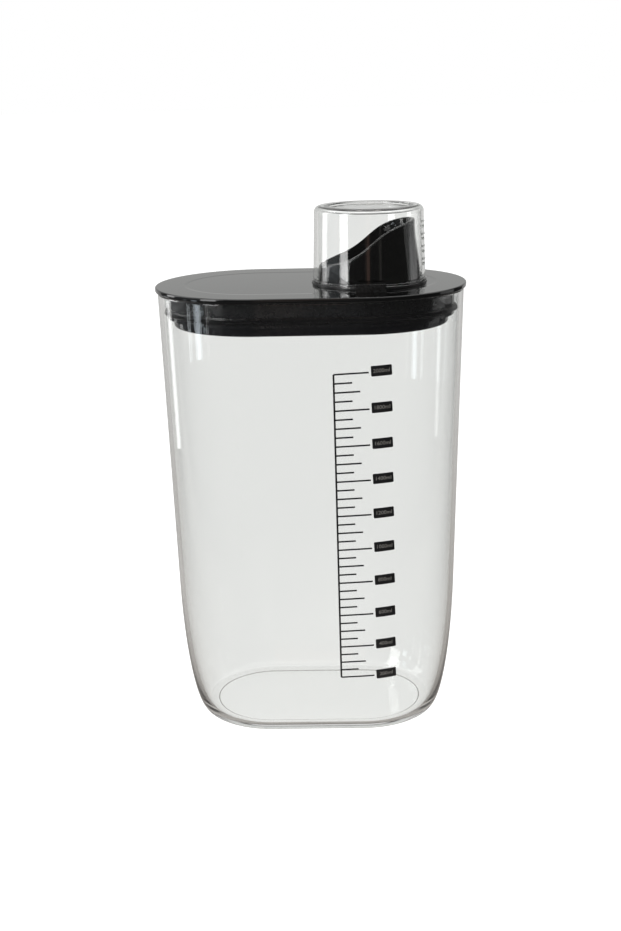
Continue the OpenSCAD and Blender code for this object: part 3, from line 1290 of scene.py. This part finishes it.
@dataclass
class Studio:
    """A pale floor and a bright room behind the object, darkness in front, and lamps at its sides."""

    panels: tuple[Panel, ...] = (
        Panel("window_front_left", 54.8, 0.36, 5.2, low=0.052),
        Panel("window_left", 107.0, 0.28, 3.6, low=0.052),
        Panel("strip_left", 72.0, 0.11, 3.2, high=0.084, distance=0.9, colour=(0.84, 0.93, 1.0)),
        Panel("strip_far_left", 84.0, 0.03, 3.0, high=0.084, distance=0.9, colour=(0.9, 0.96, 1.0)),
        Panel("strip_thin", 60.0, 0.012, 2.0, high=0.084, distance=0.9),
        Panel("strip_back_left", 116.0, 0.07, 2.2, high=0.13, distance=0.576),
        Panel("card_brown", 3.0, 0.12, 0.16, low=0.06, distance=1.2, colour=(1.0, 0.55, 0.42)),
        Panel("card_brown_wide", 4.0, 0.24, 0.07, low=0.06, distance=1.25, colour=(1.0, 0.72, 0.6)),
        Panel("card_grey", -22.0, 0.10, 0.10, low=0.06, distance=1.2, colour=(1.0, 0.95, 0.88)),
        Panel("card_low", 5.4, 0.10, 0.22, high=0.05, distance=1.2, colour=(1.0, 0.82, 0.72)),
        Panel("card_left", 84.0, 0.9, 0.35, low=0.052, distance=1.3, colour=(0.88, 0.95, 1.0)),
        Panel("card_right", -104.0, 0.5, 0.6),
    )
    floor_size: float = 24.0
    dark: Colour = (0.013, 0.0125, 0.0125)
    # Painted shade: the floor's darker, warmer tone close to the object, seen in mirrors and scattered
    # light.
    near: Colour = (0.40, 0.375, 0.35)
    far: Colour = (0.70, 0.70, 0.69)
    fade: float = 0.6
    turn: float = 4.0
    side_edge: Pair = (0.08, 0.24)
    widening: float = 0.84
    # Painted light: a glowing strip on the floor to the left, brighter than white.
    far_left: Colour = (1.15, 1.15, 1.14)
    left_strip: tuple[float, ...] = (-0.01, -0.07, -0.15, -0.22)
    glow: Colour = (0.20, 0.21, 0.22)
    glow_near: Pair = (1.17, 1.28)
    glow_far: Pair = (1.42, 1.56)
    glow_edge: Pair = (0.0, 0.07)
    wall: Colour = (0.60, 0.605, 0.595)
    ceiling: Colour = (1.3, 1.3, 1.29)
    through: Colour = (0.92, 0.92, 0.91)
    behind_edge: Pair = (0.5, 0.88)
    upward_edge: Pair = (0.35, 0.8)
    floor_glow: float = 0.9
    floor_dull: Colour = (0.03, 0.03, 0.03)
    shadow_soft: Colour = (0.42, 0.42, 0.42)
    shadow_glow: float = 0.8
    white: Colour = (1.0, 1.0, 1.0)

    def build(self, centre_x: float) -> None:
        """Builds the studio.

        Args:
            centre_x: Where the panels' common axis stands on X.
        """
        self.room()
        self.floor()
        for panel in self.panels:
            panel.build(centre_x)
        Camera().build()
        bpy.context.scene.view_settings.view_transform = "Standard"

    def room(self) -> None:
        """Makes a world, white to the camera, pale through clear pieces and dark in front in mirrors."""
        world = bpy.data.worlds.new("room")
        world.use_nodes = True
        bpy.context.scene.world = world
        board = NodeBoard(world.node_tree)
        direction = board.add("TexCoord").outputs["Generated"]
        behind = board.rise(self.part(board, direction, (0, 1)), *self.behind_edge)
        upward = board.rise(board.add("SeparateXYZ", {0: direction}).outputs[2], *self.upward_edge)
        around = board.blend(upward, board.blend(behind, self.dark, self.wall), self.ceiling)
        tone = board.blend(self.straight(board), around, self.through)
        room = board.add("Background", {"Color": tone, "Strength": 1.0})
        white = board.add("Background", {"Color": (*self.white, 1.0), "Strength": 1.0})
        board.add("OutputWorld", {"Surface": self.to_camera(board, room, white)})

    def to_camera(self, board: NodeBoard, others: bpy.types.Node, camera: bpy.types.Node) -> Socket:
        """Shows one shader to the camera and another to all other light.

        Args:
            board: The node board to add to.
            others: The shader for all other light.
            camera: The shader that the camera sees.

        Returns:
            The mixed shader.
        """
        ray = board.add("LightPath").outputs["Is Camera Ray"]
        return board.add("MixShader", {0: ray, 1: others.outputs[0], 2: camera.outputs[0]}).outputs[0]

    def part(self, board: NodeBoard, place: Socket, way: Pair) -> Socket:
        """How far a place lies along a level direction, once the room is turned.

        Args:
            board: The node board to add to.
            place: A place or a direction.
            way: The direction in X and Y before the turn.

        Returns:
            The distance.
        """
        turned = Matrix.Rotation(math.radians(self.turn), 2) @ Vector(way)
        product = board.add("VectorMath", {0: place, 1: (*turned, 0.0)}, operation="DOT_PRODUCT")
        return product.outputs["Value"]

    def straight(self, board: NodeBoard) -> Socket:
        """1 for light that only clear pieces have turned, and 0 for mirrored and scattered light."""
        path = board.add("LightPath")
        turns = board.math("ADD", path.outputs["Glossy Depth"], path.outputs["Diffuse Depth"])
        return board.math("SUBTRACT", 1.0, board.math("MINIMUM", turns, 1.0))

    def floor(self) -> None:
        """Makes the floor, with the world's tones, painted shade close to the object where mirrors and
        scattered light see it, and, to the camera, the object's shadow.
        """
        skin = Skin()
        half = self.floor_size / 2
        plan = ((-half, -half), (half, -half), (half, half), (-half, half))
        skin.cap([skin.mesh.verts.new((x, y, 0)) for x, y in plan])
        floor = skin.piece("floor")
        material, board = fresh_material("floor_pale")
        place = board.add("NewGeometry").outputs["Position"]
        across, depth = self.part(board, place, (1, 0)), self.part(board, place, (0, 1))
        reach = board.add("VectorMath", {0: place}, operation="LENGTH").outputs["Value"]
        # Painted shade: fall blends the floor's glow towards the darker, warmer tone close to the object.
        fall = board.math("EXPONENT", board.math("DIVIDE", board.math("ABSOLUTE", depth), -self.fade))
        wedge = board.math("MULTIPLY", depth, self.widening)
        beside = board.math("SUBTRACT", board.math("ABSOLUTE", across), wedge)
        bright = board.rise(beside, *reversed(self.side_edge))
        glow_side = board.rise(across, *(-edge for edge in self.glow_edge))
        band_near = board.rise(reach, *self.glow_near)
        band = board.math("MULTIPLY", band_near, board.rise(reach, *reversed(self.glow_far)))
        front = board.blend(board.math("MULTIPLY", glow_side, band), self.dark, self.glow)
        # Painted light: the floor glows brighter than white in a strip to the left, for mirrors and
        # scattered light.
        right, inner_right, inner_left, left = self.left_strip
        strip_right = board.rise(across, right, inner_right)
        strip = board.math("MULTIPLY", strip_right, board.rise(across, left, inner_left))
        far = board.blend(strip, self.far, self.far_left)
        around = board.blend(bright, front, board.blend(fall, far, self.near))
        through = tuple(part / self.floor_glow for part in self.through)
        tone = board.blend(self.straight(board), around, through)
        sheen = board.add("Emission", {"Color": tone, "Strength": self.floor_glow})
        dull = board.add("BsdfDiffuse", {"Color": (*self.floor_dull, 1.0)})
        plain = board.add("AddShader", {0: dull.outputs[0], 1: sheen.outputs[0]})
        soft = board.add("BsdfDiffuse", {"Color": (*self.shadow_soft, 1.0)})
        glow = board.add("Emission", {"Color": (*self.white, 1.0), "Strength": self.shadow_glow})
        lit = board.add("AddShader", {0: soft.outputs[0], 1: glow.outputs[0]})
        board.add("OutputMaterial", {"Surface": self.to_camera(board, plain, lit)})
        floor.data.materials.append(material)


def corners(box: tuple[Vector, Vector]) -> list[list[float]]:
    """A box's lowest and highest corner as plain lists."""
    return [list(corner) for corner in box]


def main() -> None:
    """Builds the object and the studio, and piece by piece."""
    logging.basicConfig(level=logging.INFO, format="%(name)s: %(message)s")
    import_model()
    clear, cup_clear = BODY_CLEAR.material(), CUP_CLEAR.material()
    black, plug_black, rubber = LID_BLACK.material(), PLUG_BLACK.material(), SEAL_BLACK.material()
    container = Container()
    container.build(clear)
    PrintedScale(container).build(INK_BLACK.material(), INK_PALE.material())
    lid = Lid(container)
    lid.build(black, plug_black, rubber)
    Spout(lid).build(black, rubber)
    Cup(lid.spout_x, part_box("measuring_cup")[0].z).build(cup_clear, CUP_FROSTED.material(), rubber)
    Studio().build(lid.spout_x)


if __name__ == "__main__":
    main()
